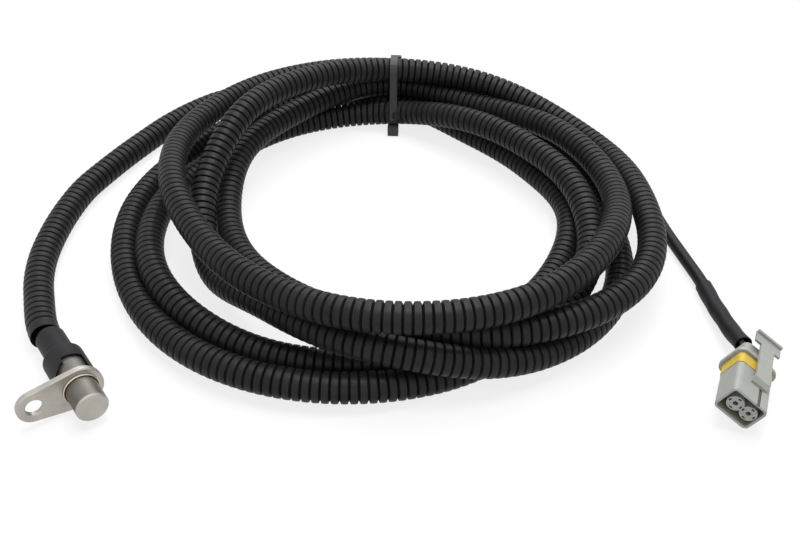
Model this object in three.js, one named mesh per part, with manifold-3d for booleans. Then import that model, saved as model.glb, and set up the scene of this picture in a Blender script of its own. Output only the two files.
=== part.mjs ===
// ABS wheel speed sensor, with its lead in a coiled corrugated conduit and a two-way connector.
// Millimetres, +Z up. The origin is on the surface that it lies on, under the middle of the sensor head.
import * as THREE from 'three';
import { mergeVertices } from 'three/addons/utils/BufferGeometryUtils.js';
import ManifoldModule from 'manifold-3d';

const wasm = await ManifoldModule();
wasm.setup();

// Clearance between touching pieces, and how finely round pieces are faceted
const GAP = 0.3;
const ROUND = 40;
const SMALL_ROUND = 16;

// How far joined shapes run into each other, and cutters past a face
const SUNK = 1;

// Sensor can: the drawn steel cup that reaches into the hub
const CAN_DIAMETER = 15.2;
const CAN_PROTRUSION = 15.2;
const CAN_WALL = 0.8;
const CAN_EDGE = 0.7;
const CAN_BEHIND = 19;
const CAN_REAR_DIAMETER = 14.4;

// Mounting flange: a plate with a lobe round the can and an eyelet for the bolt
const FLANGE_THICKNESS = 3.2;
const LOBE_RADIUS = 10.9;
const EYELET_RADIUS = 8;
const EYELET_DISTANCE = 21.4;
const EYELET_HOLE = 8;
const FLANGE_EDGE = 0.4;

// Brazing ring round the foot of the can
const RING_WIDTH = 0.6;
const RING_HEIGHT = 0.9;
const RING_SHOULDER = 0.25;

// Clamp sleeve and boot behind the flange, and the cut in the boot's front edge
const SLEEVE_WALL = 0.8;
const SLEEVE_LENGTH = 16;
const BOOT_WALL = 1.15;
const BOOT_COLLAR_END = 25;
const BOOT_SHOULDER = 3.2;
const SHOULDER_EASE = 0.6;
const BOOT_NECK_DIAMETER = 14.3;
const BOOT_LENGTH = 46;
const BOOT_DOME = [2.6, 0.8];
const WINDOW_DEPTH = 11.5;
const WINDOW_FLOOR = 2;
const WINDOW_LEFT = -7;
const WINDOW_RIGHT = 8.6;
const WINDOW_STEP = [2.6, 3.7];
const STEP_RISE = 3;
const LEAN_RISE = 7.6;

// Lead cable and its two cores
const CABLE_DIAMETER = 6.8;
const CORE_DIAMETER = 2.6;
const LEAD_STUB = 0.5;

// What the can holds: pole pin, bobbin, winding, magnet, splices and potting
const PIN_DIAMETER = 4;
const BOBBIN_CHEEK = 1;
const BOBBIN_HUB_WALL = 0.8;
const WINDING_DEPTH = 2.6;
const MAGNET_DIAMETER = 9;
const MAGNET_LENGTH = 6;
const SPLICE_DIAMETER = 2.2;
const SPLICE_LENGTH = 4;
const SPLICE_SPACING = 4.6;

// How the head lies: the way its can points in the plan, and how far the eyelet is turned up
const HEAD_HEADING = -55.2;
const HEAD_ROLL = 1;

// Corrugated conduit, and its coil's outer shape in conduit diameters, outwards and upwards
const CONDUIT_DIAMETER = 15.8;
const CONDUIT_SIDES = 12;
const COIL_CENTRE = [143.2, 126.5];
const COIL_PROFILE = [
  [5.0, 0], [9.8, 0], [9.8, 1.3], [9.3, 2.5], [8.7, 3.4], [7.0, 3.4], [5.7, 2.5], [5.0, 1.5],
];
const COIL_STEPS = 44;

// Cable tie round the bundle: its direction from the coil's centre, and the six conduits that it holds
const TIE_DIRECTION = 86.5;
const TIE_BUNDLE = [[7.2, 0.7], [8.3, 0.62], [9.3, 0.62], [9.6, 1.5], [8.2, 1.5], [7.6, 2.5]];
const TIE_WIDTH = 4.6;
const TIE_THICKNESS = 1.3;
const TIE_HEAD = [7, 6.4, 5];
const TIE_HEAD_FLOOR = 0.8;
const TIE_ROUND = 24;

// Lead from the boot to the coil, lying on the surface
const LEAD_ROUTE = [
  [-19.7, 26, 8.2], [-24.7, 35.7, 8], [-28.6, 46, 7.9], [-31.3, 54.1, 7.9], [-35, 65.7, 7.9],
  [-37.8, 78.2, 7.9], [-39.4, 91.1, 7.9], [-39.8, 104.6, 7.9], [-39.3, 118.7, 7.9], [-37.8, 133.4, 7.9],
  [-35.1, 148.6, 7.9], [-30.8, 162.5, 7.9], [-18.8, 189.5, 7.9], [-5.8, 214.5, 7.9], [3.7, 230.5, 7.9],
  [15.2, 245.5, 7.9], [29.2, 259, 7.9], [47.2, 269.5, 7.9], [65.2, 275.5, 7.9], [81.2, 276.9, 7.9],
];
const LEAD_STEPS = 16;

// Cable from the end of the conduit to the connector, its shrink sleeve, and where the sleeve begins
const TAIL_SIDES = 8;
const TAIL_ROUTE = [
  [300.3, 148.6, 5], [303, 132.1, 4.2], [306, 114.5, 3.9], [310.2, 93.4, 4], [313.9, 73.2, 4.5],
  [315.4, 55, 5.4], [316.7, 41.3, 6.8], [318.2, 27.5, 8.6], [319.6, 17.4, 11],
];
const TAIL_STEPS = 8;
const SHRINK_LENGTH = 52;
const SHRINK_WALL = 0.5;
const SHRINK_STEPS = 4;
const SPLIT_BEFORE_END = 12;
const CORE_SPLIT = 3.1;
const SPLIT_ROOM = 1;
const CORE_STRAIGHT = 1.5;
const CORE_STEPS = 9;

// Connector: where its mouth is, how it points and how it is rolled
const MOUTH_PLACE = [304.8, -27.6];
const MOUTH_HEADING = -112.7;
const MOUTH_TILT = 5;
const MOUTH_ROLL = 30.4;

// Connector hood, its cavity, and the spigot that carries the band and the collar
const HOOD_WIDTH = 19;
const HOOD_HEIGHT = 14.6;
const HOOD_CORNER = 2.5;
const HOOD_WALL = 1.05;
const HOOD_LENGTH = 20.7;
const CAVITY_DEPTH = 14.8;
const SLOT_WIDTH = 1.6;
const SLOT_DEPTH = 0.7;
const SLOT_LENGTH = 11.4;
const SLOT_PLACE = -3.4;
const SPIGOT_STEP = 1.3;
const SPIGOT_LENGTH = 8;
const SEAL_BORE = 5.6;
const SEAL_DEPTH = 7;
const SEAL_SETBACK = 0.6;
const TERMINAL_BORE = 3.8;

// Band, collar and rear cap
const BAND_WIDTH = 6.7;
const BAND_PROUD = 0.2;
const COLLAR_PROUD = 1.7;
const CAP_FLOOR = 0.8;
const CAP_BODY = [14.4, 10.4];
const CAP_CORNER = 3;
const CAP_LENGTH = 11.2;

// Carrier with its two posts, terminals and wire seals
const POST_DIAMETER = 7.9;
const POST_SPACING = 7.4;
const POST_PLACE = [-0.5, -0.25];
const POST_RECESS = 0.5;
const POST_FRONT = 2;
const CARRIER_BASE = 3;
const CONTACT_HOLE = 2.4;
const POST_SLOT = [1.5, 0.9];
const POST_SLOT_DEPTH = 4;
const POST_SLOT_RADIUS = 3;
const TERMINAL_DIAMETER = 3.2;
const TERMINAL_WALL = 0.5;

// Latch lever on the hood's upper face, moulded in one with it; it passes just clear of the collar
const LEVER_OFFSET = -1.6;
const LEVER_WIDTH = 7.7;
const LEVER_THICKNESS = 1.2;
const LEVER_FOOT = [8.2, 3.2];
const LEVER_CHAMFER = 1.6;
const LEVER_START = 11.6;
const LEVER_LENGTH = 34.4;
const PAD_WIDTH = 14.2;
const PAD_LENGTH = 7.8;
const PAD_LIP = [1.6, 1.2];

const DEGREE = Math.PI / 180;
const canRadius = CAN_DIAMETER / 2;
const rearRadius = CAN_REAR_DIAMETER / 2;
const rearStep = -FLANGE_THICKNESS + CAN_WALL;
const sleeveInner = rearRadius + GAP;
const sleeveOuter = sleeveInner + SLEEVE_WALL;
const collarInner = sleeveOuter + GAP;
const collarOuter = collarInner + BOOT_WALL;
const neckRadius = BOOT_NECK_DIAMETER / 2;
const cableRadius = CABLE_DIAMETER / 2;
const coreRadius = CORE_DIAMETER / 2;

function finish(colour, roughness, metalness) {
  return new THREE.MeshStandardMaterial({ color: colour, roughness, metalness });
}

const STEEL = finish('#a9a59b', 0.35, 0.9);
const BRAZE = finish('#b39a80', 0.4, 0.9);
const IRON = finish('#8a8782', 0.4, 0.9);
const COPPER = finish('#b06a3c', 0.4, 0.9);
const TIN = finish('#c4c1b4', 0.35, 0.9);
const FERRITE = finish('#4b4b4f', 0.6, 0.2);
const RESIN = finish('#2b2a2c', 0.5, 0);
const RUBBER = finish('#38383c', 0.65, 0);
const CONDUIT = finish('#2f2f31', 0.5, 0);
const JACKET = finish('#3a3a3e', 0.6, 0);
const NYLON = finish('#202022', 0.45, 0);
const GREY_PLASTIC = finish('#b1b2ac', 0.5, 0);
const YELLOW_PLASTIC = finish('#e0bd3c', 0.5, 0);
const WHITE_PLASTIC = finish('#dcdad0', 0.5, 0);
const SEAL_RUBBER = finish('#6f8a8f', 0.6, 0);

function add(group, name, geometry, look) {
  const mesh = new THREE.Mesh(geometry, look);
  mesh.name = name;
  group.add(mesh);
  return mesh;
}

// Turned about Z: the profile runs outwards along the low side and back along the high side
function turned(profile, segments = ROUND) {
  const points = profile.map(([radius, height]) => new THREE.Vector2(radius, height));
  return new THREE.LatheGeometry(points, segments).rotateX(90 * DEGREE);
}

function ring(inner, outer, low, high, segments = ROUND) {
  return turned([[inner, low], [outer, low], [outer, high], [inner, high], [inner, low]], segments);
}

function rod(radius, low, high, segments = ROUND) {
  return turned([[0, low], [radius, low], [radius, high], [0, high]], segments);
}

function plate(shape, low, high, bevel = 0) {
  const geometry = new THREE.ExtrudeGeometry(shape, {
    depth: high - low - 2 * bevel,
    bevelEnabled: bevel > 0,
    bevelSize: bevel,
    bevelOffset: -bevel,
    bevelThickness: bevel,
    bevelSegments: 1,
    curveSegments: SMALL_ROUND,
  });
  return geometry.translate(0, 0, low + bevel);
}

function box(width, height, depth, x, y, z) {
  return new THREE.BoxGeometry(width, height, depth).translate(x, y, z);
}

function toSolid(geometry) {
  const bare = geometry.clone();
  bare.deleteAttribute('normal');
  bare.deleteAttribute('uv');
  const merged = mergeVertices(bare, 1e-4);
  return new wasm.Manifold(new wasm.Mesh({
    numProp: 3,
    vertProperties: new Float32Array(merged.attributes.position.array),
    triVerts: new Uint32Array(merged.index.array),
  }));
}

function toGeometry(solid) {
  const mesh = solid.getMesh();
  const geometry = new THREE.BufferGeometry();
  geometry.setAttribute('position', new THREE.BufferAttribute(mesh.vertProperties, 3));
  geometry.setIndex(new THREE.BufferAttribute(mesh.triVerts, 1));
  geometry.computeVertexNormals();
  return geometry;
}

function cut(geometry, ...cutters) {
  return toGeometry(cutters.reduce((solid, cutter) => solid.subtract(toSolid(cutter)), toSolid(geometry)));
}

function join(geometry, ...more) {
  return toGeometry(more.reduce((solid, extra) => solid.add(toSolid(extra)), toSolid(geometry)));
}

// Rounded rectangle, centred on x and y
function roundedRectangle(width, height, corner, x = 0, y = 0) {
  const shape = new THREE.Shape();
  const right = x + width / 2 - corner;
  const top = y + height / 2 - corner;
  const left = x - width / 2 + corner;
  const bottom = y - height / 2 + corner;
  shape.absarc(right, top, corner, 0, 90 * DEGREE, false);
  shape.absarc(left, top, corner, 90 * DEGREE, 180 * DEGREE, false);
  shape.absarc(left, bottom, corner, 180 * DEGREE, 270 * DEGREE, false);
  shape.absarc(right, bottom, corner, 270 * DEGREE, 360 * DEGREE, false);
  shape.closePath();
  return shape;
}

function circleShape(radius, x = 0, y = 0) {
  const shape = new THREE.Shape();
  shape.absarc(x, y, radius, 0, 360 * DEGREE, false);
  return shape;
}

function polygonShape(radius, sides) {
  const corners = [];
  for (let side = 0; side < sides; side += 1) {
    const angle = (side / sides) * 360 * DEGREE;
    corners.push(new THREE.Vector2(radius * Math.cos(angle), radius * Math.sin(angle)));
  }
  return new THREE.Shape(corners);
}

// Part of a curve, measured along it
class Stretch extends THREE.Curve {
  constructor(curve, from, to) {
    super();
    this.curve = curve;
    this.from = from;
    this.to = to;
  }

  getPoint(share, target = new THREE.Vector3()) {
    return target.copy(this.curve.getPointAt(this.from + (this.to - this.from) * share));
  }
}

function smooth(points) {
  return new THREE.CatmullRomCurve3(points.map((p) => new THREE.Vector3(...p)), false, 'centripetal');
}

function alongCurve(curve, radius, sides, steps, inner = 0) {
  const shape = polygonShape(radius, sides);
  if (inner > 0) {
    shape.holes.push(polygonShape(inner, sides));
  }
  return new THREE.ExtrudeGeometry(shape, { steps, bevelEnabled: false, extrudePath: curve });
}

// Sensor head, built about its own axis: +Z out of the can's end, X towards the eyelet
const head = new THREE.Group();

function buildCan() {
  add(head, 'sensor_can', turned([
    [0, CAN_PROTRUSION - CAN_WALL], [canRadius - CAN_WALL, CAN_PROTRUSION - CAN_WALL],
    [canRadius - CAN_WALL, rearStep], [rearRadius - CAN_WALL, rearStep],
    [rearRadius - CAN_WALL, -CAN_BEHIND], [rearRadius, -CAN_BEHIND],
    [rearRadius, -FLANGE_THICKNESS], [canRadius, -FLANGE_THICKNESS],
    [canRadius, CAN_PROTRUSION - CAN_EDGE], [canRadius - CAN_EDGE, CAN_PROTRUSION], [0, CAN_PROTRUSION],
  ]), STEEL);
}

function buildFlange() {
  const lean = Math.acos((LOBE_RADIUS - EYELET_RADIUS) / EYELET_DISTANCE);
  const outline = new THREE.Shape();
  outline.absarc(0, 0, LOBE_RADIUS, lean, 360 * DEGREE - lean, false);
  outline.absarc(EYELET_DISTANCE, 0, EYELET_RADIUS, -lean, lean, false);
  outline.closePath();
  outline.holes.push(circleShape(canRadius + GAP));
  outline.holes.push(circleShape(EYELET_HOLE / 2, EYELET_DISTANCE, 0));
  add(head, 'mounting_flange', plate(outline, -FLANGE_THICKNESS, 0, FLANGE_EDGE), STEEL);

  const inner = canRadius + GAP;
  const outer = inner + RING_WIDTH;
  const top = GAP + RING_HEIGHT;
  add(head, 'brazing_ring', turned([
    [inner, GAP], [outer, GAP], [outer, top - RING_SHOULDER], [outer - RING_SHOULDER, top],
    [inner + RING_SHOULDER, top], [inner, top - RING_SHOULDER], [inner, GAP],
  ]), BRAZE);
}

function buildSleeveAndBoot() {
  const front = -FLANGE_THICKNESS - GAP;
  const sleeveEnd = front - SLEEVE_LENGTH;
  add(head, 'clamp_sleeve', ring(sleeveInner, sleeveOuter, sleeveEnd, front), STEEL);

  const bore = cableRadius + GAP;
  const innerEnd = Math.min(sleeveEnd, -CAN_BEHIND) - GAP;
  const shoulderEnd = -BOOT_COLLAR_END - BOOT_SHOULDER;
  const [dome, domeEase] = BOOT_DOME;
  const boot = turned([
    [bore, -BOOT_LENGTH], [neckRadius - dome, -BOOT_LENGTH],
    [neckRadius - domeEase, -BOOT_LENGTH + domeEase], [neckRadius, -BOOT_LENGTH + dome],
    [neckRadius, shoulderEnd], [neckRadius + SHOULDER_EASE / 2, shoulderEnd + SHOULDER_EASE],
    [collarOuter - SHOULDER_EASE, -BOOT_COLLAR_END - SHOULDER_EASE],
    [collarOuter, -BOOT_COLLAR_END + SHOULDER_EASE],
    [collarOuter, front], [collarInner, front],
    [collarInner, innerEnd], [bore, innerEnd], [bore, -BOOT_LENGTH],
  ]);
  // The window is cut from the -Y side, and its edge steps forwards and then leans towards the eyelet
  const back = front - WINDOW_DEPTH;
  const window = new THREE.Shape([
    [WINDOW_LEFT, back], [WINDOW_STEP[0], back], [WINDOW_STEP[0], back + STEP_RISE],
    [WINDOW_STEP[1], back + STEP_RISE], [WINDOW_RIGHT, back + LEAN_RISE],
    [WINDOW_RIGHT, front + SUNK], [WINDOW_LEFT, front + SUNK],
  ].map(([x, z]) => new THREE.Vector2(x, z)));
  const cutter = new THREE.ExtrudeGeometry(window, { depth: collarOuter, bevelEnabled: false });
  cutter.rotateX(90 * DEGREE);
  cutter.translate(0, -WINDOW_FLOOR, 0);
  add(head, 'boot', cut(boot, cutter), RUBBER);
}

function buildSensingParts() {
  const pinTop = CAN_PROTRUSION - CAN_WALL - GAP;
  const pinRadius = PIN_DIAMETER / 2;
  const pinLow = rearStep + GAP;
  add(head, 'pole_pin', rod(pinRadius, pinLow, pinTop, SMALL_ROUND), IRON);

  const hubInner = pinRadius + GAP;
  const hubOuter = hubInner + BOBBIN_HUB_WALL;
  const cheek = canRadius - CAN_WALL - GAP;
  add(head, 'bobbin', turned([
    [hubInner, pinLow], [cheek, pinLow], [cheek, pinLow + BOBBIN_CHEEK], [hubOuter, pinLow + BOBBIN_CHEEK],
    [hubOuter, pinTop - BOBBIN_CHEEK], [cheek, pinTop - BOBBIN_CHEEK], [cheek, pinTop],
    [hubInner, pinTop], [hubInner, pinLow],
  ], SMALL_ROUND * 2), WHITE_PLASTIC);
  const woundInner = hubOuter + GAP;
  add(head, 'winding', ring(woundInner, woundInner + WINDING_DEPTH, pinLow + BOBBIN_CHEEK + GAP,
    pinTop - BOBBIN_CHEEK - GAP, SMALL_ROUND * 2), COPPER);

  const magnetTop = pinLow - GAP;
  const magnetLow = magnetTop - MAGNET_LENGTH;
  add(head, 'magnet', rod(MAGNET_DIAMETER / 2, magnetLow, magnetTop, SMALL_ROUND * 2), FERRITE);

  const spliceTop = magnetLow - GAP;
  const spliceLow = spliceTop - SPLICE_LENGTH;
  for (const [index, side] of [1, -1].entries()) {
    const splice = rod(SPLICE_DIAMETER / 2, spliceLow, spliceTop, SMALL_ROUND);
    add(head, `crimp_splice_${index + 1}`, splice.translate(side * SPLICE_SPACING / 2, 0, 0), TIN);
  }

  const cableTop = spliceLow - GAP;
  add(head, 'sensor_cable', rod(cableRadius, -BOOT_LENGTH - LEAD_STUB, cableTop, SMALL_ROUND), JACKET);
  const pottingOuter = rearRadius - CAN_WALL - GAP;
  add(head, 'potting', ring(cableRadius + GAP, pottingOuter, -CAN_BEHIND, cableTop, SMALL_ROUND * 2), RESIN);
}

// The head lies on its flange's lobe and on the boot's collar, and its stiff lead holds the eyelet up
function layHead() {
  const tilt = Math.atan((LOBE_RADIUS - collarOuter) / (BOOT_COLLAR_END - FLANGE_THICKNESS));
  const roll = HEAD_ROLL * DEGREE;
  const heading = HEAD_HEADING * DEGREE;
  const axis = new THREE.Vector3(
    Math.cos(tilt) * Math.cos(heading), Math.cos(tilt) * Math.sin(heading), Math.sin(tilt),
  );
  const level = new THREE.Vector3(Math.sin(heading), -Math.cos(heading), 0);
  const upward = new THREE.Vector3().crossVectors(level, axis);
  const toEyelet = level.multiplyScalar(Math.cos(roll)).addScaledVector(upward, Math.sin(roll));
  const third = new THREE.Vector3().crossVectors(axis, toEyelet);
  head.setRotationFromMatrix(new THREE.Matrix4().makeBasis(toEyelet, third, axis));
  const middle = new THREE.Box3().setFromObject(head, true);
  head.position.set(-(middle.min.x + middle.max.x) / 2, -(middle.min.y + middle.max.y) / 2, -middle.min.z);
}

// Conduit: the lead that lies free, and one solid of the coil's outer shape
const cord = new THREE.Group();

function inDiameters([out, up]) {
  return [out * CONDUIT_DIAMETER, up * CONDUIT_DIAMETER];
}

// Outline round the bundle at the tie, standing off its conduits by a margin
function bundleOutline(margin) {
  const reach = CONDUIT_DIAMETER / 2 + margin;
  const centres = TIE_BUNDLE.map(inDiameters);
  const corners = [];
  for (let step = 0; step < TIE_ROUND; step += 1) {
    const angle = (step / TIE_ROUND) * 360 * DEGREE;
    const [x, y] = [Math.cos(angle), Math.sin(angle)];
    const support = ([out, up]) => out * x + up * y;
    const far = centres.reduce((best, place) => (support(place) > support(best) ? place : best));
    corners.push(new THREE.Vector2(far[0] + reach * x, far[1] + reach * y));
  }
  return new THREE.Shape(corners);
}

function acrossTie(shape, width) {
  const slab = new THREE.ExtrudeGeometry(shape, { depth: width, bevelEnabled: false });
  slab.translate(0, 0, -width / 2);
  slab.rotateX(90 * DEGREE);
  return slab.rotateZ(TIE_DIRECTION * DEGREE).translate(COIL_CENTRE[0], COIL_CENTRE[1], 0);
}

function buildConduit() {
  const lead = alongCurve(smooth(LEAD_ROUTE), CONDUIT_DIAMETER / 2, CONDUIT_SIDES, LEAD_STEPS);
  add(cord, 'conduit_lead', lead, CONDUIT);

  const pile = turned([...COIL_PROFILE, COIL_PROFILE[0]].map(inDiameters), COIL_STEPS);
  pile.translate(COIL_CENTRE[0], COIL_CENTRE[1], 0);
  const slot = TIE_WIDTH + 2 * GAP;
  const opening = toSolid(acrossTie(wholeSection(), slot)).add(toSolid(tieHead(GAP)));
  const neck = toSolid(acrossTie(bundleOutline(0), slot + 2 * SUNK));
  const coil = toSolid(pile).subtract(opening).add(neck.subtract(toSolid(tieHead(GAP))));
  add(cord, 'conduit_coil', toGeometry(coil), CONDUIT);

  const band = toSolid(acrossTie(bundleOutline(GAP + TIE_THICKNESS), TIE_WIDTH));
  const hollow = toSolid(acrossTie(bundleOutline(GAP), TIE_WIDTH + 2 * SUNK));
  add(cord, 'cable_tie', toGeometry(band.add(toSolid(tieHead(0))).subtract(hollow)), NYLON);
}

// Everything that the coil's profile covers, for the slot that the tie lies in
function wholeSection() {
  const outs = COIL_PROFILE.map(([out]) => out);
  const ups = COIL_PROFILE.map(([, up]) => up);
  const [low, high, above] = [Math.min(...outs) - 1, Math.max(...outs) + 1, Math.max(...ups) + 1];
  const corners = [[low, -1], [high, -1], [high, above], [low, above]].map(inDiameters);
  return new THREE.Shape(corners.map(([x, y]) => new THREE.Vector2(x, y)));
}

// The tie's head stands on the inner side of the bundle, close to the surface
function tieHead(margin) {
  const inner = (TIE_BUNDLE[0][0] - 0.5) * CONDUIT_DIAMETER - GAP;
  const [width, height, depth] = TIE_HEAD.map((size) => size + 2 * margin);
  const near = inner + TIE_THICKNESS / 2 + margin;
  const outline = new THREE.Shape([
    [near - depth, TIE_HEAD_FLOOR - margin], [near, TIE_HEAD_FLOOR - margin],
    [near, TIE_HEAD_FLOOR - margin + height], [near - depth, TIE_HEAD_FLOOR - margin + height],
  ].map(([x, y]) => new THREE.Vector2(x, y)));
  return acrossTie(outline, width);
}

// Connector, built about its own axis: +Z out of the mouth, the latch lever on the -Y side
const plug = new THREE.Group();

function placePlug() {
  const [heading, tilt, roll] = [MOUTH_HEADING, MOUTH_TILT, MOUTH_ROLL].map((angle) => angle * DEGREE);
  const axis = new THREE.Vector3(
    Math.cos(tilt) * Math.cos(heading), Math.cos(tilt) * Math.sin(heading), Math.sin(tilt),
  );
  const level = new THREE.Vector3(Math.sin(heading), -Math.cos(heading), 0);
  const upward = new THREE.Vector3().crossVectors(level, axis);
  const long = level.multiplyScalar(Math.cos(roll)).addScaledVector(upward, Math.sin(roll));
  const short = new THREE.Vector3().crossVectors(axis, long);
  plug.setRotationFromMatrix(new THREE.Matrix4().makeBasis(long, short, axis));
  plug.position.set(MOUTH_PLACE[0], MOUTH_PLACE[1], 0);
  const box = new THREE.Box3().setFromObject(plug, true);
  plug.position.z = -box.min.z;
  plug.updateMatrixWorld(true);
}

const hoodBack = -HOOD_LENGTH;
const spigotWidth = HOOD_WIDTH - 2 * SPIGOT_STEP;
const spigotHeight = HOOD_HEIGHT - 2 * SPIGOT_STEP;
const spigotCorner = HOOD_CORNER - SPIGOT_STEP;
const spigotBack = hoodBack - SPIGOT_LENGTH;
const cavityWidth = HOOD_WIDTH - 2 * HOOD_WALL;
const cavityHeight = HOOD_HEIGHT - 2 * HOOD_WALL;
const cavityCorner = HOOD_CORNER - HOOD_WALL;
const sealFront = spigotBack + SEAL_DEPTH;
const terminalBack = sealFront + GAP;
const leverLift = COLLAR_PROUD + GAP;
const waysY = POST_PLACE[1];

// The two ways, side by side and a little towards the lever
function waysX() {
  return [POST_PLACE[0] + POST_SPACING / 2, POST_PLACE[0] - POST_SPACING / 2];
}

function buildHousing() {
  const hood = plate(roundedRectangle(HOOD_WIDTH, HOOD_HEIGHT, HOOD_CORNER), hoodBack, 0);
  const spigotShape = roundedRectangle(spigotWidth, spigotHeight, spigotCorner);
  const spigot = plate(spigotShape, spigotBack, hoodBack + SUNK);
  const cavity = roundedRectangle(cavityWidth, cavityHeight, cavityCorner);
  const top = -HOOD_HEIGHT / 2;
  const stripTop = top - leverLift - LEVER_THICKNESS;
  const stripMiddle = top - leverLift - LEVER_THICKNESS / 2;
  const [footWidth, footLength] = LEVER_FOOT;
  const footDepth = leverLift + LEVER_THICKNESS + HOOD_WALL / 2;
  const stripEnd = LEVER_LENGTH - PAD_LENGTH;
  const foot = new THREE.Shape([
    [-LEVER_START, stripTop + leverLift], [-LEVER_START, stripTop + footDepth],
    [-LEVER_START - footLength, stripTop + footDepth], [-LEVER_START - footLength, stripTop],
    [-LEVER_START - LEVER_CHAMFER, stripTop],
  ].map(([z, y]) => new THREE.Vector2(z, y)));
  const footBlock = new THREE.ExtrudeGeometry(foot, { depth: footWidth, bevelEnabled: false });
  footBlock.rotateY(-90 * DEGREE);
  footBlock.translate(LEVER_OFFSET + footWidth / 2, 0, 0);
  const strip = box(LEVER_WIDTH, LEVER_THICKNESS, stripEnd - footLength + 2 * SUNK, LEVER_OFFSET, stripMiddle,
    -LEVER_START - (footLength + stripEnd) / 2);
  const padMiddle = -LEVER_START - stripEnd - PAD_LENGTH / 2;
  const pad = box(PAD_WIDTH, LEVER_THICKNESS, PAD_LENGTH, LEVER_OFFSET, stripMiddle, padMiddle);
  const [lipLength, lipRise] = PAD_LIP;
  const lip = box(PAD_WIDTH, LEVER_THICKNESS + lipRise, lipLength, LEVER_OFFSET, stripMiddle - lipRise / 2,
    -LEVER_START - LEVER_LENGTH + lipLength / 2);
  const whole = join(hood, spigot, footBlock, strip, pad, lip);

  const cutters = [plate(cavity, -CAVITY_DEPTH, SUNK)];
  for (const x of waysX()) {
    cutters.push(rod(TERMINAL_BORE / 2, spigotBack - SUNK, 0, SMALL_ROUND).translate(x, waysY, 0));
    cutters.push(rod(SEAL_BORE / 2, spigotBack - SUNK, sealFront, SMALL_ROUND).translate(x, waysY, 0));
  }
  cutters.push(box(SLOT_WIDTH, SLOT_DEPTH * 2, SLOT_LENGTH * 2, SLOT_PLACE, top, 0));
  add(plug, 'connector_housing', cut(whole, ...cutters), GREY_PLASTIC);
}

function buildBandAndCap() {
  const bandFront = hoodBack - GAP;
  const bandBack = bandFront - BAND_WIDTH;
  const hole = roundedRectangle(spigotWidth + 2 * GAP, spigotHeight + 2 * GAP, spigotCorner + GAP);
  const bandShape = roundedRectangle(HOOD_WIDTH + 2 * BAND_PROUD, HOOD_HEIGHT + 2 * BAND_PROUD,
    HOOD_CORNER + BAND_PROUD);
  const band = cut(plate(bandShape, bandBack, bandFront), plate(hole, bandBack - SUNK, bandFront + SUNK));
  add(plug, 'lock_band', band, YELLOW_PLASTIC);

  const capFront = bandBack - GAP;
  const pocketFloor = spigotBack - GAP;
  const collarBack = pocketFloor - CAP_FLOOR;
  const capBack = collarBack - CAP_LENGTH;
  const collarShape = roundedRectangle(HOOD_WIDTH + 2 * COLLAR_PROUD, HOOD_HEIGHT + 2 * COLLAR_PROUD,
    HOOD_CORNER + COLLAR_PROUD);
  const block = roundedRectangle(CAP_BODY[0], CAP_BODY[1], CAP_CORNER, POST_PLACE[0], waysY);
  const collar = plate(collarShape, collarBack, capFront);
  const solid = join(collar, plate(block, capBack, collarBack + CAP_FLOOR / 2));
  const cutters = [plate(hole, pocketFloor, capFront + SUNK)];
  for (const x of waysX()) {
    cutters.push(rod(coreRadius + GAP, capBack - SUNK, capFront, SMALL_ROUND).translate(x, waysY, 0));
  }
  add(plug, 'rear_cap', cut(solid, ...cutters), GREY_PLASTIC);
  return capBack;
}

function buildCarrier() {
  const baseBack = -CAVITY_DEPTH + GAP;
  const base = roundedRectangle(cavityWidth - 2 * GAP, cavityHeight - 2 * GAP, cavityCorner - GAP);
  const parts = [plate(base, baseBack, baseBack + CARRIER_BASE)];
  const cutters = [];
  for (const x of waysX()) {
    parts.push(rod(POST_DIAMETER / 2, baseBack + SUNK, -POST_RECESS, SMALL_ROUND * 2).translate(x, waysY, 0));
    const behindFront = -POST_RECESS - POST_FRONT;
    cutters.push(rod(TERMINAL_BORE / 2, baseBack - SUNK, behindFront, SMALL_ROUND).translate(x, waysY, 0));
    cutters.push(rod(CONTACT_HOLE / 2, baseBack, 0, SMALL_ROUND).translate(x, waysY, 0));
    for (let quarter = 0; quarter < 4; quarter += 1) {
      const slot = box(POST_SLOT[0], POST_SLOT[1], POST_SLOT_DEPTH * 2, 0, POST_SLOT_RADIUS, -POST_RECESS);
      cutters.push(slot.rotateZ(quarter * 90 * DEGREE).translate(x, waysY, 0));
    }
  }
  const [first, ...rest] = parts;
  add(plug, 'terminal_carrier', cut(join(first, ...rest), ...cutters), GREY_PLASTIC);

  for (const [index, x] of waysX().entries()) {
    const outer = TERMINAL_DIAMETER / 2;
    const socket = outer - TERMINAL_WALL;
    const front = -POST_RECESS - POST_FRONT - GAP;
    const terminal = turned([
      [0, terminalBack], [outer, terminalBack], [outer, front], [socket, front],
      [socket, baseBack], [0, baseBack],
    ], SMALL_ROUND);
    add(plug, `terminal_${index + 1}`, terminal.translate(x, waysY, 0), TIN);
    const sealBack = spigotBack + SEAL_SETBACK;
    const seal = ring(coreRadius + GAP, SEAL_BORE / 2 - GAP, sealBack, sealFront - GAP, SMALL_ROUND);
    add(plug, `wire_seal_${index + 1}`, seal.translate(x, waysY, 0), SEAL_RUBBER);
  }
}

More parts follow.
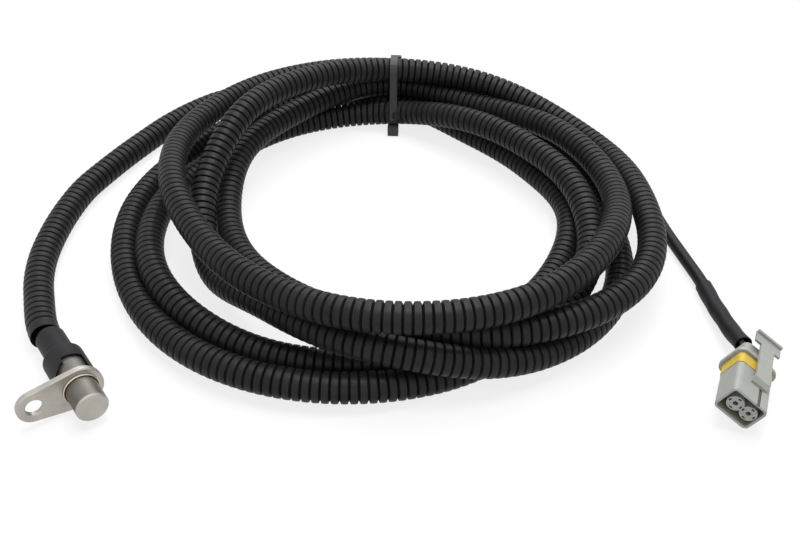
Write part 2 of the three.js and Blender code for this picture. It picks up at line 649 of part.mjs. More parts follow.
// Cable from the coil to the connector, with its sleeve, and the two cores that leave it
function buildTail(capBack) {
  const curve = smooth(TAIL_ROUTE);
  const length = curve.getLength();
  const shrinkFrom = 1 - SHRINK_LENGTH / length;
  const split = 1 - SPLIT_BEFORE_END / length;
  const cable = new Stretch(curve, 0, split);
  add(cord, 'cable_tail', alongCurve(cable, cableRadius, TAIL_SIDES, TAIL_STEPS), JACKET);
  const bore = (cableRadius + GAP) / Math.cos(180 * DEGREE / TAIL_SIDES);
  const covered = new Stretch(curve, shrinkFrom, 1);
  add(cord, 'shrink_sleeve', alongCurve(covered, bore + SHRINK_WALL, TAIL_SIDES, SHRINK_STEPS, bore), RUBBER);

  const inward = plug.matrixWorld.clone().invert();
  const beginning = curve.getPointAt(split + (GAP + SPLIT_ROOM) / length).applyMatrix4(inward);
  const leaving = curve.getPointAt(1).applyMatrix4(inward);
  for (const [index, x] of waysX().entries()) {
    const side = Math.sign(x - POST_PLACE[0]) * CORE_SPLIT / 2;
    const points = [
      [beginning.x + side, beginning.y, beginning.z],
      [leaving.x + side, leaving.y, leaving.z],
      [x, waysY, capBack - CORE_STRAIGHT],
      [x, waysY, capBack + CORE_STRAIGHT],
      [x, waysY, terminalBack - GAP],
    ];
    const core = alongCurve(smooth(points), coreRadius, TAIL_SIDES, CORE_STEPS);
    add(plug, `core_wire_${index + 1}`, core, index === 0 ? NYLON : WHITE_PLASTIC);
  }
}

buildCan();
buildFlange();
buildSleeveAndBoot();
buildSensingParts();
layHead();
buildConduit();
buildHousing();
const capBack = buildBandAndCap();
buildCarrier();
placePlug();
buildTail(capBack);

const sensor = new THREE.Group();
sensor.name = 'wheel_speed_sensor';
sensor.add(head, cord, plug);
export default sensor;
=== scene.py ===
# Wheel speed sensor: finishes, conduit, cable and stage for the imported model.
# Metres, +Z up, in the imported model's own frame. The part lies on z = 0.
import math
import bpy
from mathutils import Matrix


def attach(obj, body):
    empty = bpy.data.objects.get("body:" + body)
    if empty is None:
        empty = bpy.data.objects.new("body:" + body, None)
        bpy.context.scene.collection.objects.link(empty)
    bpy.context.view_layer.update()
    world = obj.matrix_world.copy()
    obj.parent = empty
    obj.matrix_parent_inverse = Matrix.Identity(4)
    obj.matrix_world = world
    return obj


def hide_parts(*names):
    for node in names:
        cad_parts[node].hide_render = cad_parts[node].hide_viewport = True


bl_info = {
    "name": "Wheel Speed Sensor",
    "version": (1, 0, 0),
    "blender": (4, 5, 0),
    "location": "View3D > Sidebar > Sensor",
    "description": "Dresses a wheel speed sensor with its ribbed conduit, cable and plug, and lights it",
    "category": "Object",
}

from typing import NamedTuple

import bpy
import numpy as np
from mathutils import Vector

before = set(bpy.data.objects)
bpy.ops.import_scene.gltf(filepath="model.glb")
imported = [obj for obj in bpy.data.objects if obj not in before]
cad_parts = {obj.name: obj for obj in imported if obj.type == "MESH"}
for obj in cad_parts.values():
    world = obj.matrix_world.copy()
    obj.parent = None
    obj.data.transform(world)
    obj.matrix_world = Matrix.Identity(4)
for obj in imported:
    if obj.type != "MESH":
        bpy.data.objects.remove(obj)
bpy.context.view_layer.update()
MM = 0.001

# Camera: focal length and width of its sensor in millimetres, place, and how far below level it looks
FOCAL_LENGTH = 42.75
SENSOR_WIDTH = 36
CLIP_START = 0.01
CAMERA_PLACE = (0.15413, -0.3158, 0.32706)
CAMERA_DIP = math.radians(38.8)

# Conduit: its length and diameters, the corners round it, and its two cut ends
CONDUIT_DIAMETER = 0.0158
CREST_DIAMETER = 0.0153
CONDUIT_BORE = 0.0124
CONDUIT_SIDES = 20
MOUTH_BORE = 0.0142
MOUTH_DEPTH = 0.03
LIP_LENGTH = 0.003
LIP_SLOPE = 0.0008
NEAR_EDGE = 0.0002
FAR_EDGE = 0.0004

# Ribs: their pitch, and one rib's profile as shares of the pitch, each with its depth below the crest
RIB_PITCH = 0.0043
RIB_PROFILE = ((0.08, 0.00012), (0.42, 0), (0.76, 0.00012), (0.92, 0.0017))

# Lead from the boot to the coil, in millimetres, lying on the surface
LEAD_ROUTE = (
    (-19.7, 26, 8.2), (-24.7, 35.7, 8), (-28.6, 46, 7.9), (-31.3, 54.1, 7.9), (-35, 65.7, 7.9),
    (-37.8, 78.2, 7.9), (-39.4, 91.1, 7.9), (-39.8, 104.6, 7.9), (-39.3, 118.7, 7.9), (-37.8, 133.4, 7.9),
    (-35.1, 148.6, 7.9), (-30.8, 162.5, 7.9), (-18.8, 189.5, 7.9), (-5.8, 214.5, 7.9), (3.7, 230.5, 7.9),
    (15.2, 245.5, 7.9), (29.2, 259, 7.9), (47.2, 269.5, 7.9), (65.2, 275.5, 7.9), (81.2, 276.9, 7.9),
)
LEAD_TO_COIL = (113.2, 270, 8.4)
LEAD_STEPS = 8

# Coil: its centre in millimetres, where its turns begin, and each turn as it lies. Every twelfth of a turn
# is a station, with how far out the conduit's middle is and how high, both in conduit diameters.
COIL_CENTRE = (143.2, 126.5)
COIL_START = math.radians(90)
STATION = math.radians(30)
TURNS = (
    (
        (8.3, 0.62), (6.9, 0.5), (6.5, 0.55), (6.8, 0.65), (6.7, 0.5), (6.9, 0.5),
        (7.5, 0.5), (8.0, 0.6), (8.3, 1.0), (7.9, 0.9), (7.4, 0.6), (7.5, 0.5),
    ),
    (
        (7.2, 0.7), (6.2, 1.5), (6.2, 1.7), (7.0, 1.6), (7.8, 1.1), (8.0, 0.5),
        (8.6, 0.6), (9.1, 0.7), (9.1, 0.5), (9.0, 0.6), (8.8, 0.5), (9.0, 0.55),
    ),
    (
        (9.3, 0.62), (8.8, 0.5), (8.3, 0.5), (8.1, 0.6), (8.9, 0.5), (8.9, 0.9),
        (8.2, 1.8), (6.9, 1.5), (6.5, 0.8), (6.2, 1.8), (6.0, 3.0), (6.5, 3.0),
    ),
    (
        (7.6, 2.5), (8.4, 2.0), (9.1, 1.2), (9.2, 1.5), (9.6, 1.6), (8.6, 1.8),
        (6.7, 1.4), (5.7, 1.1), (5.4, 0.9), (5.5, 0.9), (6.1, 1.4), (7.0, 1.4),
    ),
    (
        (8.2, 1.5), (7.8, 1.3), (7.9, 1.7), (8.2, 1.8), (8.3, 2.4), (8.5, 2.8),
        (8.1, 2.9), (7.2, 2.6), (6.8, 2.4), (7.3, 2.4), (8.3, 2.0), (9.1, 1.8),
    ),
    ((9.6, 1.5), (9.95, 0.9), (9.65, 0.5), (9.2, 0.5)),
)
LAST_STATION = 62.2
STATION_STEP = 0.25
COIL_STEPS = 3

# Cable from inside the end of the conduit to the plug. Its route is in millimetres.
CABLE_DIAMETER = 0.0068
CABLE_SIDES = 24
CABLE_STEPS = 12
CABLE_RING_STEP = 0.004
CABLE_EDGE = 0.0004
TAIL_START = ((266.3, 215.9, 8.4), (273.8, 202.1, 7.9), (281, 187.9, 7.9), (292.8, 169.4, 6.8))
TAIL_ROUTE = (
    (300.3, 148.6, 5), (303, 132.1, 4.2), (306, 114.5, 3.9), (310.2, 93.4, 4), (313.9, 73.2, 4.5),
    (315.4, 55, 5.4), (316.7, 41.3, 6.8), (318.2, 27.5, 8.6), (319.6, 17.4, 11),
)
SPLIT_BEFORE_END = 0.012

# Shrunk sleeve over the cable's end: its sizes, its play on the cable, and its unevenness, as a wave's height
# and the radians that it turns through in a metre
SLEEVE_LENGTH = 0.052
SLEEVE_DIAMETER = 0.0086
SLEEVE_PLAY = 0.0003
SLEEVE_RINGS = 28
SLEEVE_WAVE = 0.00012
SLEEVE_WAVE_RATE = 400

# Where the head and the plug point, the middle of the plug's mouth, the depth of its cavity, and how far
# behind the mouth the painted shade on the faces of the hood and of the terminal carrier begins
HEAD_AXIS = Vector((0.5699, -0.82, 0.0527))
PLUG_AXIS = Vector((-0.3844, -0.919, 0.0872))
PLUG_MOUTH = Vector((0.3048, -0.0276, 0.0144))
CAVITY_DEPTH = 0.015
HOOD_LIP = 0.001
CARRIER_FRONT = 0.006

# The groove along the plug's hood, whose floor and sides get painted shade: the hood's long way across, the
# groove's place on it and its sizes
PLUG_LONG = Vector((-0.7787, 0.3735, 0.504))
GROOVE_PLACE = -0.0034
GROOVE_HALF_WIDTH = 0.0009
GROOVE_START = 0.0001
GROOVE_LENGTH = 0.0115
GROOVE_FLOOR = 0.0064

# Cosines between a face's normal and an axis: the most for a side, the least for a floor
SIDE_COSINE = 0.3
FLOOR_COSINE = 0.9

# Width of the softened edges, and the angle in degrees from which an edge is sharp
EDGE = 0.0003
CAN_EDGE = 0.0004
CARRIER_EDGE = 0.0002
EDGE_SEGMENTS = 2
SHARP = 35
RIB_SHARP = 40
CORE_SHARP = 60

# Colours of the moulded pieces that have no setting, painted shade for the plug's cavity and groove, and
# shades of those that have one
# Painted shade for the inner faces of the plug's mouth and the carrier's base
CAVITY_PAINTED_SHADE = (0.31, 0.3, 0.26)
# Painted shade for the floor and sides of the groove along the plug's hood
GROOVE_PAINTED_SHADE = (0.1, 0.1, 0.09)
SEAL_COLOUR = (0.16, 0.25, 0.27)
CORE_BLACK = (0.02, 0.02, 0.02)
CORE_WHITE = (0.7, 0.7, 0.66)
TIE_COLOUR = (0.012, 0.012, 0.0125)
BOBBIN_WHITE = (0.7, 0.69, 0.63)
RESIN_COLOUR = (0.024, 0.022, 0.024)
FLOOR_WHITE = (0.8, 0.8, 0.8)
# Painted shade and dark reflection on the can's sides, as a factor of the steel's colour
CAN_SIDE_PAINTED_SHADE = 0.42
CLAMP_SHADE = 0.4
JACKET_SHADE = 0.7
SHRINK_SHADE = 0.75
CARRIER_SHADE = 0.95

# Roughness of the finishes that have no setting
RUBBER_ROUGHNESS = 0.5
JACKET_ROUGHNESS = 0.42
STEEL_ROUGHNESS = 0.42
MOULDED_ROUGHNESS = 0.45
TIE_ROUGHNESS = 0.5
RESIN_ROUGHNESS = 0.3

# Plain metals: colour, roughness and how metallic
BRAZE = ((0.62, 0.54, 0.42), 0.35, 0.7)
TIN = ((0.55, 0.53, 0.47), 0.35, 0.9)
IRON = ((0.25, 0.24, 0.23), 0.4, 0.9)
COPPER = ((0.43, 0.14, 0.05), 0.4, 0.8)
FERRITE = ((0.07, 0.07, 0.08), 0.6, 0.2)

# Shares of a noise between which a tint goes from its dark to its light shade
TINT_SPAN = (0.3, 0.7)

# Share of the floor's look that shines by itself, and the lamps: name, place, side and power, with one aim
FLOOR_GLOW = 0.8
LAMP_AIM = Vector((0.14, 0.05, 0))
LAMPS = (
    ("key", (0.3, 0.2, 1.6), 0.9, 22),
    ("back", (0.3, 1.2, 1.3), 1.2, 14),
    ("front", (0.1, -1.4, 0.9), 1.2, 3),
)


class Surface(NamedTuple):
    """
    How a finish varies over a piece: cloud tints it between two shades, grain changes its roughness and relief
    raises it to a height in metres. Each of the three is a noise, with cycles per metre and detail.
    """

    metallic: float
    gloss: float
    cloud: tuple
    shades: tuple
    grain: tuple
    roughening: tuple
    relief: tuple
    height: float
    strength: float


CONDUIT_SURFACE = Surface(
    metallic=0, gloss=0.15, cloud=(60, 4), shades=(0.75, 1.3), grain=(400, 6), roughening=(-0.08, 0.14),
    relief=(1500, 3), height=0.00006, strength=0.5)
RUBBER_SURFACE = Surface(
    metallic=0, gloss=0.16, cloud=(90, 4), shades=(0.8, 1.2), grain=(500, 5), roughening=(-0.06, 0.12),
    relief=(2200, 3), height=0.00005, strength=0.5)
STEEL_SURFACE = Surface(
    metallic=0.85, gloss=0.5, cloud=(120, 6), shades=(0.88, 1.1), grain=(700, 6), roughening=(-0.08, 0.1),
    relief=(3000, 4), height=0.00003, strength=0.4)
MOULDED_SURFACE = Surface(
    metallic=0, gloss=0.5, cloud=(150, 4), shades=(0.94, 1.05), grain=(900, 4), roughening=(-0.05, 0.1),
    relief=(4000, 2), height=0.00002, strength=0.4)


class ConduitSettings(bpy.types.PropertyGroup):
    colour: bpy.props.FloatVectorProperty(
        name="Colour", description="Colour of the ribbed conduit", subtype="COLOR",
        default=(0.011, 0.011, 0.0115), min=0, max=1)
    roughness: bpy.props.FloatProperty(
        name="Roughness", description="Roughness of the conduit's surface", subtype="FACTOR",
        default=0.42, min=0, max=1)


class HeadSettings(bpy.types.PropertyGroup):
    steel: bpy.props.FloatVectorProperty(
        name="Steel", description="Colour of the can, the flange and the sleeve", subtype="COLOR",
        default=(0.42, 0.40, 0.36), min=0, max=1)
    rubber: bpy.props.FloatVectorProperty(
        name="Rubber", description="Colour of the boot", subtype="COLOR",
        default=(0.012, 0.0115, 0.0135), min=0, max=1)


class PlugSettings(bpy.types.PropertyGroup):
    grey: bpy.props.FloatVectorProperty(
        name="Grey", description="Colour of the plug's housing and cap", subtype="COLOR",
        default=(0.275, 0.282, 0.265), min=0, max=1)
    yellow: bpy.props.FloatVectorProperty(
        name="Yellow", description="Colour of the locking band", subtype="COLOR",
        default=(0.5, 0.36, 0.04), min=0, max=1)


class StageSettings(bpy.types.PropertyGroup):
    floor_size: bpy.props.FloatProperty(
        name="Floor", description="Side of the floor", unit="LENGTH", default=6, min=1)
    sky: bpy.props.FloatProperty(
        name="Sky", description="Strength of the light from all round", default=0.55, min=0)


# Smooth lines through points

def catmull_rom(before, start, end, after, share):
    """Point between start and end on a smooth line through the four points."""
    linear = end - before
    square = 2 * before - 5 * start + 4 * end - after
    cube = 3 * start - before - 3 * end + after
    return 0.5 * (2 * start + linear * share + square * share ** 2 + cube * share ** 3)


def smooth_line(points, steps):
    """Samples on a smooth line through the points, with the same number of steps between each two."""
    points = [np.array(p, float) for p in points]
    padded = [2 * points[0] - points[1], *points, 2 * points[-1] - points[-2]]
    line = [
        catmull_rom(*padded[i:i + 4], step / steps)
        for i in range(len(points) - 1)
        for step in range(steps)
    ]
    return np.array([*line, points[-1]])


def coil_point(station):
    """Place of the conduit's middle in the coil, counted in twelfths of a turn from the tie."""
    stations = [np.array(s) for turn in TURNS for s in turn]
    whole = min(int(station), len(stations) - 2)
    around = [stations[min(max(whole + k, 0), len(stations) - 1)] for k in (-1, 0, 1, 2)]
    out, up = catmull_rom(*around, station - whole) * CONDUIT_DIAMETER
    up = max(up, CONDUIT_DIAMETER / 2)
    angle = COIL_START - STATION * station
    x = COIL_CENTRE[0] * MM + out * math.cos(angle)
    y = COIL_CENTRE[1] * MM + out * math.sin(angle)
    return np.array([x, y, up])


def conduit_line():
    """The whole conduit's middle line, from its mouth at the boot to its far end."""
    coil = [coil_point(s) for s in np.arange(0, LAST_STATION, STATION_STEP)]
    lead_points = [np.array(p) * MM for p in (*LEAD_ROUTE, LEAD_TO_COIL)] + [coil[0], coil[1]]
    lead = smooth_line(lead_points, LEAD_STEPS)[:-LEAD_STEPS - 1]
    return np.vstack([lead, smooth_line(coil, COIL_STEPS)])


class Line:
    """A line of samples, read by the distance along it, with a frame that doesn't twist."""

    def __init__(self, samples):
        self.samples = samples
        steps = np.linalg.norm(np.diff(samples, axis=0), axis=1)
        self.distance = np.concatenate([[0], np.cumsum(steps)])
        self.length = float(self.distance[-1])
        self.ahead = np.gradient(samples, self.distance, axis=0)
        self.ahead /= np.linalg.norm(self.ahead, axis=1)[:, None]
        side = np.cross(self.ahead[0], (0, 0, 1))
        sides = []
        for ahead in self.ahead:
            side = side - ahead * side.dot(ahead)
            side = side / np.linalg.norm(side)
            sides.append(side)
        self.side = np.array(sides)

    def read(self, values, where):
        """Values at some distances, worked out between the samples."""
        return np.stack([np.interp(where, self.distance, values[:, k]) for k in range(3)], axis=1)

    def rings(self, sections, sides, wobble=None):
        """Corners of rings round the line: each section is a distance along it and a radius."""
        where = np.array([s[0] for s in sections])
        radius = np.array([s[1] for s in sections])
        middle = self.read(self.samples, where)
        ahead = self.read(self.ahead, where)
        side = self.read(self.side, where)
        up = np.cross(side, ahead)
        up /= np.linalg.norm(up, axis=1)[:, None]
        side = np.cross(ahead, up)
        angles = np.linspace(0, 2 * math.pi, sides, endpoint=False)
        reach = radius[:, None] * np.ones((1, sides))
        if wobble is not None:
            reach = reach + wobble(where[:, None], angles[None, :])
        across = reach * np.cos(angles)
        above = reach * np.sin(angles)
        return middle[:, None] + across[..., None] * side[:, None] + above[..., None] * up[:, None]


def tube_mesh(name, rings):
    """Closed mesh through rings of corners, with a disc at each end."""
    count, sides = rings.shape[:2]
    faces = [
        (r * sides + k, r * sides + (k + 1) % sides, (r + 1) * sides + (k + 1) % sides, (r + 1) * sides + k)
        for r in range(count - 1)
        for k in range(sides)
    ]
    faces.append(tuple(reversed(range(sides))))
    faces.append(tuple((count - 1) * sides + k for k in range(sides)))
    mesh = bpy.data.meshes.new(name)
    mesh.from_pydata(rings.reshape(-1, 3).tolist(), [], faces)
    mesh.validate()
    return mesh


def add_piece(name, mesh, material, sharp=SHARP):
    """Puts a modelled piece in the scene, with smooth round faces."""
    mesh.shade_smooth()
    mesh.set_sharp_from_angle(angle=math.radians(sharp))
    piece = bpy.data.objects.new(name, mesh)
    bpy.context.scene.collection.objects.link(piece)
    piece.data.materials.append(material)
    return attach(piece, "root")


def dress(node, material, bevel=0.0, sharp=SHARP):
    """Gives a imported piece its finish, soft edges and smooth round faces."""
    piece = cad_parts[node]
    piece.data.materials.clear()
    piece.data.materials.append(material)
    piece.data.shade_smooth()
    piece.data.set_sharp_from_angle(angle=math.radians(sharp))
    if bevel:
        edge = piece.modifiers.new("soft_edges", "BEVEL")
        edge.width = bevel
        edge.segments = EDGE_SEGMENTS
        edge.limit_method = "ANGLE"
        edge.angle_limit = math.radians(sharp)
        edge.harden_normals = True
    return piece


def paint(piece, material, faces):
    """Gives some faces of a piece a second material, which here is always painted shade."""
    piece.data.materials.append(material)
    for face in faces:
        face.material_index = len(piece.data.materials) - 1


def side_faces(piece, axis):
    """Faces that stand along an axis."""
    return [face for face in piece.data.polygons if abs(face.normal.dot(axis)) < SIDE_COSINE]


def cavity_shade_faces(piece, front):
    """Faces in the plug's mouth that look inwards or forwards, from a depth behind its front; they get painted
    shade.
    """
    faces = []
    for face in piece.data.polygons:
        from_mouth = face.center - PLUG_MOUTH
        depth = -from_mouth.dot(PLUG_AXIS)
        outward = (from_mouth + depth * PLUG_AXIS).normalized()
        inward = face.normal.dot(outward) < -SIDE_COSINE
        if front < depth < CAVITY_DEPTH and (inward or face.normal.dot(PLUG_AXIS) > FLOOR_COSINE):
            faces.append(face)
    return faces


def groove_shade_faces(piece):
    """Faces of the floor and sides of the groove along the plug's hood, which get painted shade."""
    faces = []
    for face in piece.data.polygons:
        from_mouth = face.center - PLUG_MOUTH
        within_length = GROOVE_START < -from_mouth.dot(PLUG_AXIS) < GROOVE_LENGTH
        within_width = abs(from_mouth.dot(PLUG_LONG) - GROOVE_PLACE) < GROOVE_HALF_WIDTH
        height = from_mouth.dot(PLUG_LONG.cross(PLUG_AXIS))
        if within_length and within_width and height > GROOVE_FLOOR:
            faces.append(face)
    return faces


# Materials

def new_material(name, colour, roughness, metallic=0.0, gloss=0.5):
    material = bpy.data.materials.new(name)
    material.use_nodes = True
    shader = material.node_tree.nodes["Principled BSDF"]
    shader.inputs["Base Color"].default_value = (*colour, 1)
    shader.inputs["Roughness"].default_value = roughness
    shader.inputs["Metallic"].default_value = metallic
    shader.inputs["Specular IOR Level"].default_value = gloss
    return material, material.node_tree, shader


def noise(tree, scale, detail):
    """Noise in the object's own space, in cycles per metre."""
    place = tree.nodes.new("ShaderNodeTexCoord")
    texture = tree.nodes.new("ShaderNodeTexNoise")
    texture.inputs["Scale"].default_value = scale
    texture.inputs["Detail"].default_value = detail
    tree.links.new(place.outputs["Object"], texture.inputs["Vector"])
    return texture.outputs["Fac"]


def spread(tree, source, low, high, socket):
    """Maps a 0 to 1 source to a range and feeds it to a socket."""
    ranged = tree.nodes.new("ShaderNodeMapRange")
    ranged.inputs["To Min"].default_value = low
    ranged.inputs["To Max"].default_value = high
    tree.links.new(source, ranged.inputs["Value"])
    tree.links.new(ranged.outputs["Result"], socket)


def tint(tree, source, shader, shades):
    """Colour that wanders between a dark and a light shade."""
    ramp = tree.nodes.new("ShaderNodeValToRGB")
    for stop, share, colour in zip(ramp.color_ramp.elements, TINT_SPAN, shades):
        stop.position = share
        stop.color = (*colour, 1)
    tree.links.new(source, ramp.inputs["Fac"])
    tree.links.new(ramp.outputs["Color"], shader.inputs["Base Color"])


def bump(tree, source, shader, height, strength):
    """Fine relief, too small to be modelled."""
    node = tree.nodes.new("ShaderNodeBump")
    node.inputs["Distance"].default_value = height
    node.inputs["Strength"].default_value = strength
    tree.links.new(source, node.inputs["Height"])
    tree.links.new(node.outputs["Normal"], shader.inputs["Normal"])


def shade(colour, factor):
    return tuple(min(1.0, channel * factor) for channel in colour)


def grained(name, colour, roughness, surface):
    """Material whose colour, roughness and height vary a little, as a real surface's do."""
    material, tree, shader = new_material(name, colour, roughness, surface.metallic, surface.gloss)
    tint(tree, noise(tree, *surface.cloud), shader, [shade(colour, factor) for factor in surface.shades])
    least, most = (roughness + change for change in surface.roughening)
    spread(tree, noise(tree, *surface.grain), least, most, shader.inputs["Roughness"])
    bump(tree, noise(tree, *surface.relief), shader, surface.height, surface.strength)
    return material


def conduit_finish(settings):
    return grained("conduit_polyamide", settings.colour, settings.roughness, CONDUIT_SURFACE)


def rubber_finish(name, colour, roughness=RUBBER_ROUGHNESS):
    return grained(name, colour, roughness, RUBBER_SURFACE)


def steel_finish(name, colour):
    return grained(name, colour, STEEL_ROUGHNESS, STEEL_SURFACE)


def moulded_finish(name, colour, roughness=MOULDED_ROUGHNESS):
    return grained(name, colour, roughness, MOULDED_SURFACE)


def plain_metal(name, metal):
    material, _, _ = new_material(name, *metal)
    return material


class SENSOR_OT_stage(bpy.types.Operator):
    """Floor, light and the camera at the photograph's angle"""

    bl_idname = "sensor.stage"
    bl_label = "Stage"

    def execute(self, context):
        settings = context.scene.sensor_stage
        add_camera(context)
        add_floor(settings)
        light_world(context, settings)
        add_lamps()
        context.scene.view_settings.view_transform = "Standard"
        return {"FINISHED"}


def add_camera(context):
    camera = bpy.data.objects.new("camera", bpy.data.cameras.new("camera"))
    context.scene.collection.objects.link(camera)
    camera.data.sensor_width = SENSOR_WIDTH
    camera.data.lens = FOCAL_LENGTH
    camera.data.clip_start = CLIP_START
    camera.location = CAMERA_PLACE
    camera.rotation_euler = (math.radians(90) - CAMERA_DIP, 0, 0)
    context.scene.camera = camera


def seen_or_mirrored(tree):
    """One where the camera sees a surface directly, in a reflection or through glass."""
    path = tree.nodes.new("ShaderNodeLightPath")
    either = tree.nodes.new("ShaderNodeMath")
    either.operation = "MAXIMUM"
    any_of = tree.nodes.new("ShaderNodeMath")
    any_of.operation = "MAXIMUM"
    tree.links.new(path.outputs["Is Camera Ray"], either.inputs[0])
    tree.links.new(path.outputs["Is Glossy Ray"], either.inputs[1])
    tree.links.new(either.outputs[0], any_of.inputs[0])
    tree.links.new(path.outputs["Is Transmission Ray"], any_of.inputs[1])
    return any_of.outputs[0]


def add_floor(settings):
    """White floor that takes soft shadows, and that shines a little so that it shows as white as the sky."""
    half = settings.floor_size / 2
    mesh = bpy.data.meshes.new("floor")
    corners_of_floor = [(-half, -half, 0), (half, -half, 0), (half, half, 0), (-half, half, 0)]
    mesh.from_pydata(corners_of_floor, [], [(0, 1, 2, 3)])
    floor = bpy.data.objects.new("floor", mesh)
    bpy.context.scene.collection.objects.link(floor)
    material, tree, shader = new_material("floor_white", FLOOR_WHITE, 1.0, gloss=0)
    glow = tree.nodes.new("ShaderNodeEmission")
    part_of = tree.nodes.new("ShaderNodeMath")
    part_of.operation = "MULTIPLY"
    part_of.inputs[1].default_value = FLOOR_GLOW
    mix = tree.nodes.new("ShaderNodeMixShader")
    tree.links.new(seen_or_mirrored(tree), part_of.inputs[0])
    tree.links.new(part_of.outputs[0], mix.inputs["Fac"])
    tree.links.new(shader.outputs["BSDF"], mix.inputs[1])
    tree.links.new(glow.outputs["Emission"], mix.inputs[2])
    tree.links.new(mix.outputs["Shader"], tree.nodes["Material Output"].inputs["Surface"])
    mesh.materials.append(material)


def light_world(context, settings):
    """Light from all round, seen as plain white."""
    world = bpy.data.worlds.new("studio")
    context.scene.world = world
    world.use_nodes = True
    tree = world.node_tree
    background = tree.nodes["Background"]
    background.inputs["Color"].default_value = (1, 1, 1, 1)
    spread(tree, seen_or_mirrored(tree), settings.sky, 1.0, background.inputs["Strength"])


def add_lamps():
    for name, place, size, power in LAMPS:
        lamp = bpy.data.lights.new(name, "AREA")
        lamp.size = size
        lamp.energy = power
        holder = bpy.data.objects.new(name, lamp)
        bpy.context.scene.collection.objects.link(holder)
        holder.location = place
        holder.rotation_euler = (LAMP_AIM - Vector(place)).to_track_quat("-Z", "Y").to_euler()


class SENSOR_OT_conduit(bpy.types.Operator):
    """Ribbed conduit, from its mouth at the boot through the whole coil"""

    bl_idname = "sensor.conduit"
    bl_label = "Conduit"

    def execute(self, context):
        line = Line(conduit_line())
        mesh = tube_mesh("conduit", line.rings(conduit_sections(line.length), CONDUIT_SIDES))
        piece = add_piece("conduit", mesh, conduit_finish(context.scene.sensor_conduit), RIB_SHARP)
        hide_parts("conduit_lead", "conduit_coil")
        return {"FINISHED"}


def conduit_sections(length):
    """Ribs from end to end, with the bore seen in both mouths."""
    outer = CREST_DIAMETER / 2
    bore = CONDUIT_BORE / 2
    mouth = MOUTH_BORE / 2
    slope = LIP_LENGTH - LIP_SLOPE
    ribs = int((length - 2 * LIP_LENGTH) / RIB_PITCH)
    pitch = (length - 2 * LIP_LENGTH) / ribs
    sections = [(MOUTH_DEPTH, bore), (LIP_LENGTH, bore), (slope, mouth), (0, mouth), (0, outer - NEAR_EDGE)]
    sections += [
        (LIP_LENGTH + (rib + share) * pitch, outer - depth)
        for rib in range(ribs)
        for share, depth in RIB_PROFILE
    ]
    sections[-1] = (length, outer - FAR_EDGE)
    sections += [
        (length, mouth), (length - slope, mouth), (length - LIP_LENGTH, bore), (length - MOUTH_DEPTH, bore),
    ]
    return sections


class SENSOR_OT_cable(bpy.types.Operator):
    """Cable from the conduit to the plug, with its shrink sleeve"""

    bl_idname = "sensor.cable"
    bl_label = "Cable and sleeve"

    def execute(self, context):
        colour = context.scene.sensor_head.rubber
        whole = Line(smooth_line([np.array(p) * MM for p in (*TAIL_START, *TAIL_ROUTE)], CABLE_STEPS))
        end = whole.length - SPLIT_BEFORE_END
        mesh = tube_mesh("tail_cable", whole.rings(cable_sections(end), CABLE_SIDES))
        jacket = rubber_finish("cable_jacket", shade(colour, JACKET_SHADE), JACKET_ROUGHNESS)
        cable = add_piece("tail_cable", mesh, jacket)
        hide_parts("cable_tail")

        shrink = rubber_finish("shrink_tube", shade(colour, SHRINK_SHADE))
        sleeve = add_piece("cable_sleeve", sleeve_mesh(whole), shrink)
        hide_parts("shrink_sleeve")
        return {"FINISHED"}


def cable_sections(length):
    """Plain round cable with slightly rounded ends."""
    radius = CABLE_DIAMETER / 2
    sections = [(0, radius - CABLE_EDGE), (CABLE_EDGE, radius)]
    stops = np.arange(CABLE_RING_STEP, length - CABLE_RING_STEP / 2, CABLE_RING_STEP)
    sections += [(stop, radius) for stop in stops]
    return sections + [(length - CABLE_EDGE, radius), (length, radius - CABLE_EDGE)]


def sleeve_mesh(line):
    """Shrunk sleeve: a tube with a wall, slightly uneven along its length."""
    start = line.length - SLEEVE_LENGTH
    outer = SLEEVE_DIAMETER / 2
    inner = CABLE_DIAMETER / 2 + SLEEVE_PLAY
    where = np.linspace(start, line.length, SLEEVE_RINGS)
    sections = [(d, outer) for d in where]
    sections += [(d, inner) for d in where[::-1]]

    def unevenness(distance, angle):
        return SLEEVE_WAVE * np.sin(distance * SLEEVE_WAVE_RATE + 2 * angle) * (distance > start)

    rings = line.rings(sections, CABLE_SIDES, unevenness)
    count, sides = rings.shape[:2]
    faces = [
        (r * sides + k, r * sides + (k + 1) % sides, ((r + 1) % count) * sides + (k + 1) % sides,
         ((r + 1) % count) * sides + k)
        for r in range(count)
        for k in range(sides)
    ]
    mesh = bpy.data.meshes.new("cable_sleeve")
    mesh.from_pydata(rings.reshape(-1, 3).tolist(), [], faces)
    return mesh


class SENSOR_OT_head(bpy.types.Operator):
    """Can, flange, brazing ring, clamp sleeve and boot of the sensor head"""

    bl_idname = "sensor.head"
    bl_label = "Sensor head"

    def execute(self, context):
        settings = context.scene.sensor_head
        steel = steel_finish("dull_steel", settings.steel)
        can = dress("sensor_can", steel, CAN_EDGE)
        # The can's side faces get a darker copy of the steel: painted shade and dark reflection
        paint(can, steel_finish("can_side_painted_shade", shade(settings.steel, CAN_SIDE_PAINTED_SHADE)), side_faces(can, HEAD_AXIS))
        dress("mounting_flange", steel, EDGE)
        dress("clamp_sleeve", steel_finish("sleeve_steel", shade(settings.steel, CLAMP_SHADE)))
        dress("brazing_ring", plain_metal("braze", BRAZE), EDGE)
        dress("boot", rubber_finish("boot_rubber", settings.rubber), EDGE)
        dress("sensor_cable", rubber_finish("inner_jacket", shade(settings.rubber, JACKET_SHADE)))
        return {"FINISHED"}


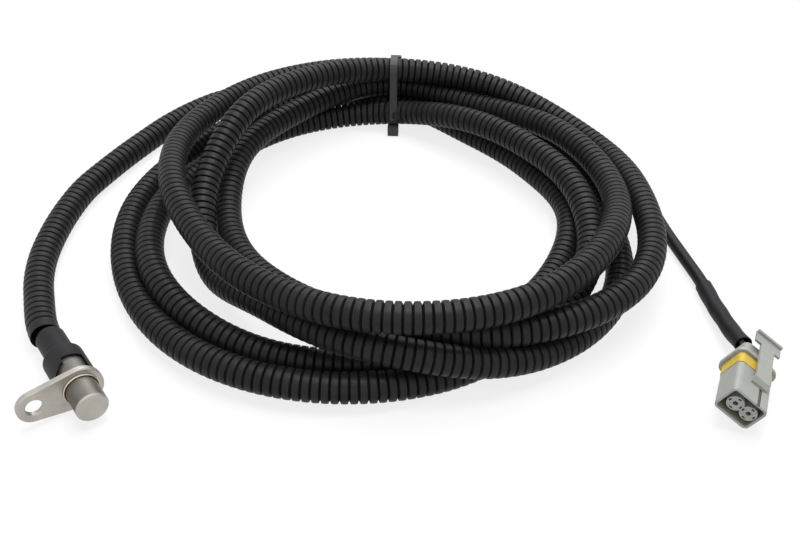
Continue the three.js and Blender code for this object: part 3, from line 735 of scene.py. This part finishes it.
class SENSOR_OT_plug(bpy.types.Operator):
    """Housing, band, cap, contacts, seals and cores of the plug"""

    bl_idname = "sensor.plug"
    bl_label = "Plug"

    def execute(self, context):
        settings = context.scene.sensor_plug
        grey = moulded_finish("grey_polyester", settings.grey)
        shaded = moulded_finish("cavity_painted_shade", CAVITY_PAINTED_SHADE)
        carrier_grey = moulded_finish("carrier_grey", shade(settings.grey, CARRIER_SHADE))
        housing = dress("connector_housing", grey, EDGE)
        carrier = dress("terminal_carrier", carrier_grey, CARRIER_EDGE)
        # The inner faces of the hood's mouth and of the carrier behind it get painted shade
        paint(housing, shaded, cavity_shade_faces(housing, HOOD_LIP))
        # The groove's floor and sides get painted shade
        paint(housing, moulded_finish("groove_painted_shade", GROOVE_PAINTED_SHADE), groove_shade_faces(housing))
        paint(carrier, shaded, cavity_shade_faces(carrier, CARRIER_FRONT))
        dress("rear_cap", grey, EDGE)
        dress("lock_band", moulded_finish("band_yellow", settings.yellow), EDGE)
        contact = plain_metal("tinned_contact", TIN)
        seal = rubber_finish("seal_silicone", SEAL_COLOUR)
        for way in (1, 2):
            dress(f"terminal_{way}", contact)
            dress(f"wire_seal_{way}", seal)
        dress("core_wire_1", moulded_finish("core_black", CORE_BLACK), sharp=CORE_SHARP)
        dress("core_wire_2", moulded_finish("core_white", CORE_WHITE), sharp=CORE_SHARP)
        return {"FINISHED"}


class SENSOR_OT_tie(bpy.types.Operator):
    """Cable tie round the coil"""

    bl_idname = "sensor.tie"
    bl_label = "Cable tie"

    def execute(self, context):
        dress("cable_tie", moulded_finish("tie_nylon", TIE_COLOUR, TIE_ROUGHNESS), EDGE)
        return {"FINISHED"}


class SENSOR_OT_inside(bpy.types.Operator):
    """Pole pin, bobbin, winding, magnet, splices and resin, sealed in the can"""

    bl_idname = "sensor.inside"
    bl_label = "Sealed pieces"

    def execute(self, context):
        tin = plain_metal("tinned_splice", TIN)
        dress("pole_pin", plain_metal("soft_iron", IRON))
        dress("winding", plain_metal("enamelled_copper", COPPER))
        dress("magnet", plain_metal("sintered_magnet", FERRITE))
        dress("crimp_splice_1", tin)
        dress("crimp_splice_2", tin)
        dress("bobbin", moulded_finish("bobbin_white", BOBBIN_WHITE))
        dress("potting", moulded_finish("cast_resin", RESIN_COLOUR, RESIN_ROUGHNESS))
        return {"FINISHED"}


class SENSOR_PT_panel(bpy.types.Panel):
    """Sizes, colours and steps of the wheel speed sensor"""

    bl_idname = "SENSOR_PT_panel"
    bl_label = "Wheel speed sensor"
    bl_space_type = "VIEW_3D"
    bl_region_type = "UI"
    bl_category = "Sensor"

    def draw(self, context):
        for name in SETTINGS:
            settings = getattr(context.scene, name)
            for field in settings.bl_rna.properties:
                if field.identifier not in ("rna_type", "name"):
                    self.layout.prop(settings, field.identifier)
        for operator in OPERATORS:
            self.layout.operator(operator.bl_idname)


SETTINGS = {
    "sensor_conduit": ConduitSettings,
    "sensor_head": HeadSettings,
    "sensor_plug": PlugSettings,
    "sensor_stage": StageSettings,
}
OPERATORS = (
    SENSOR_OT_stage, SENSOR_OT_conduit, SENSOR_OT_cable, SENSOR_OT_tie, SENSOR_OT_head, SENSOR_OT_plug,
    SENSOR_OT_inside,
)


def register():
    for kind in (*SETTINGS.values(), *OPERATORS, SENSOR_PT_panel):
        bpy.utils.register_class(kind)
    for name, kind in SETTINGS.items():
        setattr(bpy.types.Scene, name, bpy.props.PointerProperty(type=kind))


def unregister():
    for name in SETTINGS:
        delattr(bpy.types.Scene, name)
    for kind in (SENSOR_PT_panel, *reversed(OPERATORS), *SETTINGS.values()):
        bpy.utils.unregister_class(kind)


def main():
    register()
    bpy.ops.sensor.stage()
    bpy.ops.sensor.conduit()
    bpy.ops.sensor.cable()
    bpy.ops.sensor.tie()
    bpy.ops.sensor.head()
    bpy.ops.sensor.plug()
    bpy.ops.sensor.inside()


if __name__ == "__main__":
    main()
